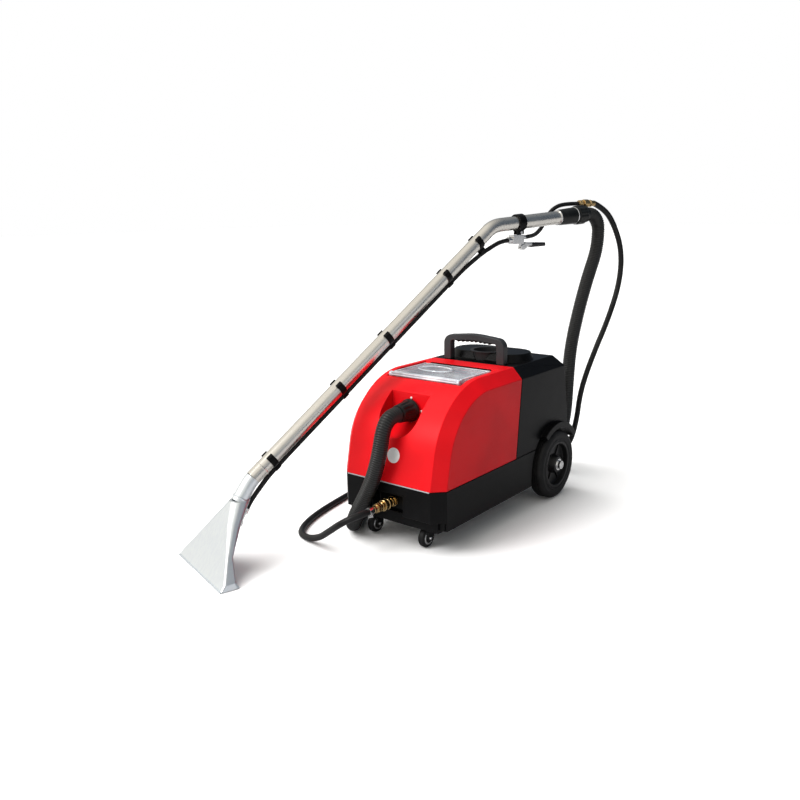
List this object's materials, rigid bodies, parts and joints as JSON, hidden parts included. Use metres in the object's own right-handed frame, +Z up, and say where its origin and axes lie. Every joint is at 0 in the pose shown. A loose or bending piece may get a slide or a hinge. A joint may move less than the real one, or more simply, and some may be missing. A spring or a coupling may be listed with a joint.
{
  "type": "carpet cleaner machine",
  "caption": "Portable hot-water carpet extractor: two-tank body on wheels and casters, clear-lidded recovery tank, vacuum and solution hoses, and a floor wand.",
  "frame": {"origin": "on the floor, under the middle of the bounding box of the machine and its wand, hoses left out", "axes": "+Z up from the floor, -Y towards the front of the machine (recovery tank and floor head), +X to the side that the wand leans away from"},
  "size_m": [0.5684, 1.4298, 0.845],
  "materials": {
    "black_plastic": "rotomoulded polyethylene, fine grain, satin",
    "red_plastic": "rotomoulded polyethylene, satin gloss",
    "clear_plastic": "clear polycarbonate, polished",
    "grey_plastic": "moulded, satin",
    "strainer_plastic": "moulded, matt",
    "seal_rubber": "soft closed-cell seal",
    "tyre_rubber": "smooth solid tread",
    "wheel_plastic": "moulded, satin",
    "zinc_plate": "zinc-plated pressing",
    "bright_steel": "bright turned",
    "motor_shell": "grey enamel",
    "screw_white": "white enamel heads",
    "badge_white": "plain disc, no lettering",
    "head_metal": "satin formed sheet",
    "tube_chrome": "polished stainless tube",
    "band_black": "moulded band, satin",
    "lever_black": "dipped grip, satin gloss",
    "brass": "turned, bright",
    "hose_rubber": "smooth cover, satin",
    "hose_plastic": "spiral-ribbed, satin",
    "cuff_rubber": "moulded cuff with finger flutes"
  },
  "bodies": {
    "machine": {"base_pan": "black_plastic", "under_tray": "black_plastic", "recovery_tank": "red_plastic", "lid_hinge_pin": "bright_steel", "lid_gasket": "seal_rubber", "solution_tank": "black_plastic", "carry_handle": "grey_plastic", "handle_screws": "bright_steel", "rear_axle": "bright_steel", "axle_washers_and_nuts": "bright_steel", "caster_mounts": "zinc_plate", "vacuum_motor": "motor_shell", "solution_pump": "motor_shell", "inner_lines": "hose_rubber", "inlet_flange": "black_plastic", "inlet_screws": "screw_white", "front_cuff": "cuff_rubber", "suction_standpipe": "strainer_plastic", "switch_plate": "bright_steel", "cable_gland": "black_plastic", "drain_valve": "brass", "outlet_socket": "brass", "coupler_plug": "brass", "front_hose_clamp": "bright_steel", "front_badge": "badge_white", "floor_head": "head_metal", "wand_neck": "head_metal", "wand_tube": "tube_chrome", "hose_bands": "band_black", "pressure_hose": "hose_rubber", "spray_jet": "brass", "valve_clamp": "band_black", "valve_body": "bright_steel", "valve_pins": "bright_steel", "whip_hose": "hose_rubber", "wand_cuff": "cuff_rubber", "wand_coupler": "brass", "vacuum_hose": "hose_plastic", "solution_hose": "hose_rubber"},
    "lid": {"tank_lid": "clear_plastic"},
    "strainer": {"fill_strainer": "strainer_plastic"},
    "float": {"float_ball": "strainer_plastic"},
    "rotor": {"motor_rotor": "motor_shell"},
    "rear_wheel_right": {"tyre_right": "tyre_rubber", "wheel_rim_right": "wheel_plastic"},
    "rear_wheel_left": {"tyre_left": "tyre_rubber", "wheel_rim_left": "wheel_plastic"},
    "caster_right": {"caster_fork_right": "wheel_plastic"},
    "caster_left": {"caster_fork_left": "wheel_plastic"},
    "caster_wheel_right": {"caster_tyre_right": "tyre_rubber", "caster_hub_right": "wheel_plastic"},
    "caster_wheel_left": {"caster_tyre_left": "tyre_rubber", "caster_hub_left": "wheel_plastic"},
    "vacuum_rocker": {"vacuum_switch": "black_plastic"},
    "pump_rocker": {"pump_switch": "black_plastic"},
    "drain_tap": {"drain_lever": "bright_steel"},
    "front_sleeve": {"coupler_sleeve": "brass"},
    "wand_sleeve": {"wand_coupler_sleeve": "brass"},
    "collar": {"swivel_collar": "cuff_rubber"},
    "trigger": {"valve_lever": "lever_black"}
  },
  "joints": [
    {"name": "lid_hinge", "type": "hinge", "parent": "machine", "child": "lid", "pos_m": [0.095, 0.082, 0.403], "axis": [-1, 0, 0], "range_deg": [0, 100]},
    {"name": "strainer_lift", "type": "slide", "parent": "machine", "child": "strainer", "axis": [0, 0, 1], "range_m": [0, 0.1]},
    {"name": "float_rise", "type": "slide", "parent": "machine", "child": "float", "axis": [0, 0, 1], "range_m": [0, 0.004]},
    {"name": "rotor_spin", "type": "hinge", "parent": "machine", "child": "rotor", "pos_m": [0.095, 0.256, 0.15], "axis": [0, 0, 1], "continuous": true},
    {"name": "rear_wheel_right_spin", "type": "hinge", "parent": "machine", "child": "rear_wheel_right", "pos_m": [0.2505, 0.329, 0.1], "axis": [1, 0, 0], "continuous": true},
    {"name": "rear_wheel_left_spin", "type": "hinge", "parent": "machine", "child": "rear_wheel_left", "pos_m": [-0.0605, 0.329, 0.1], "axis": [1, 0, 0], "continuous": true},
    {"name": "caster_right_swivel", "type": "hinge", "parent": "machine", "child": "caster_right", "pos_m": [0.178, -0.164, 0.065], "axis": [0, 0, 1], "continuous": true},
    {"name": "caster_left_swivel", "type": "hinge", "parent": "machine", "child": "caster_left", "pos_m": [0.012, -0.164, 0.065], "axis": [0, 0, 1], "continuous": true},
    {"name": "caster_right_roll", "type": "hinge", "parent": "caster_right", "child": "caster_wheel_right", "pos_m": [0.178, -0.18, 0.025], "axis": [1, 0, 0], "continuous": true},
    {"name": "caster_left_roll", "type": "hinge", "parent": "caster_left", "child": "caster_wheel_left", "pos_m": [0.012, -0.18, 0.025], "axis": [1, 0, 0], "continuous": true},
    {"name": "vacuum_switch_rock", "type": "hinge", "parent": "machine", "child": "vacuum_rocker", "pos_m": [0.015, 0.392, 0.122], "axis": [-1, 0, 0], "range_deg": [0, 14]},
    {"name": "pump_switch_rock", "type": "hinge", "parent": "machine", "child": "pump_rocker", "pos_m": [0.059, 0.392, 0.122], "axis": [-1, 0, 0], "range_deg": [0, 14]},
    {"name": "drain_tap_turn", "type": "hinge", "parent": "machine", "child": "drain_tap", "pos_m": [0.141, 0.412, 0.122], "axis": [0, 0, -1], "range_deg": [0, 90]},
    {"name": "front_sleeve_pull", "type": "slide", "parent": "machine", "child": "front_sleeve", "axis": [0, 1, 0], "range_m": [0, 0.006], "stiffness_N_per_m": 300, "springref_m": -0.002},
    {"name": "wand_sleeve_pull", "type": "slide", "parent": "machine", "child": "wand_sleeve", "axis": [0.2822, 0.9594, 0], "range_m": [0, 0.005], "stiffness_N_per_m": 300, "springref_m": -0.002},
    {"name": "collar_swivel", "type": "hinge", "parent": "machine", "child": "collar", "pos_m": [0.19472, 0.5742, 0.8007], "axis": [0.2815, 0.957, 0.0697], "continuous": true},
    {"name": "trigger_squeeze", "type": "hinge", "parent": "machine", "child": "trigger", "pos_m": [0.12982, 0.35355, 0.72], "axis": [0.9594, -0.2822, 0], "range_deg": [0, 10], "stiffness_Nm_per_rad": 0.4, "springref_deg": -5.73}
  ]
}
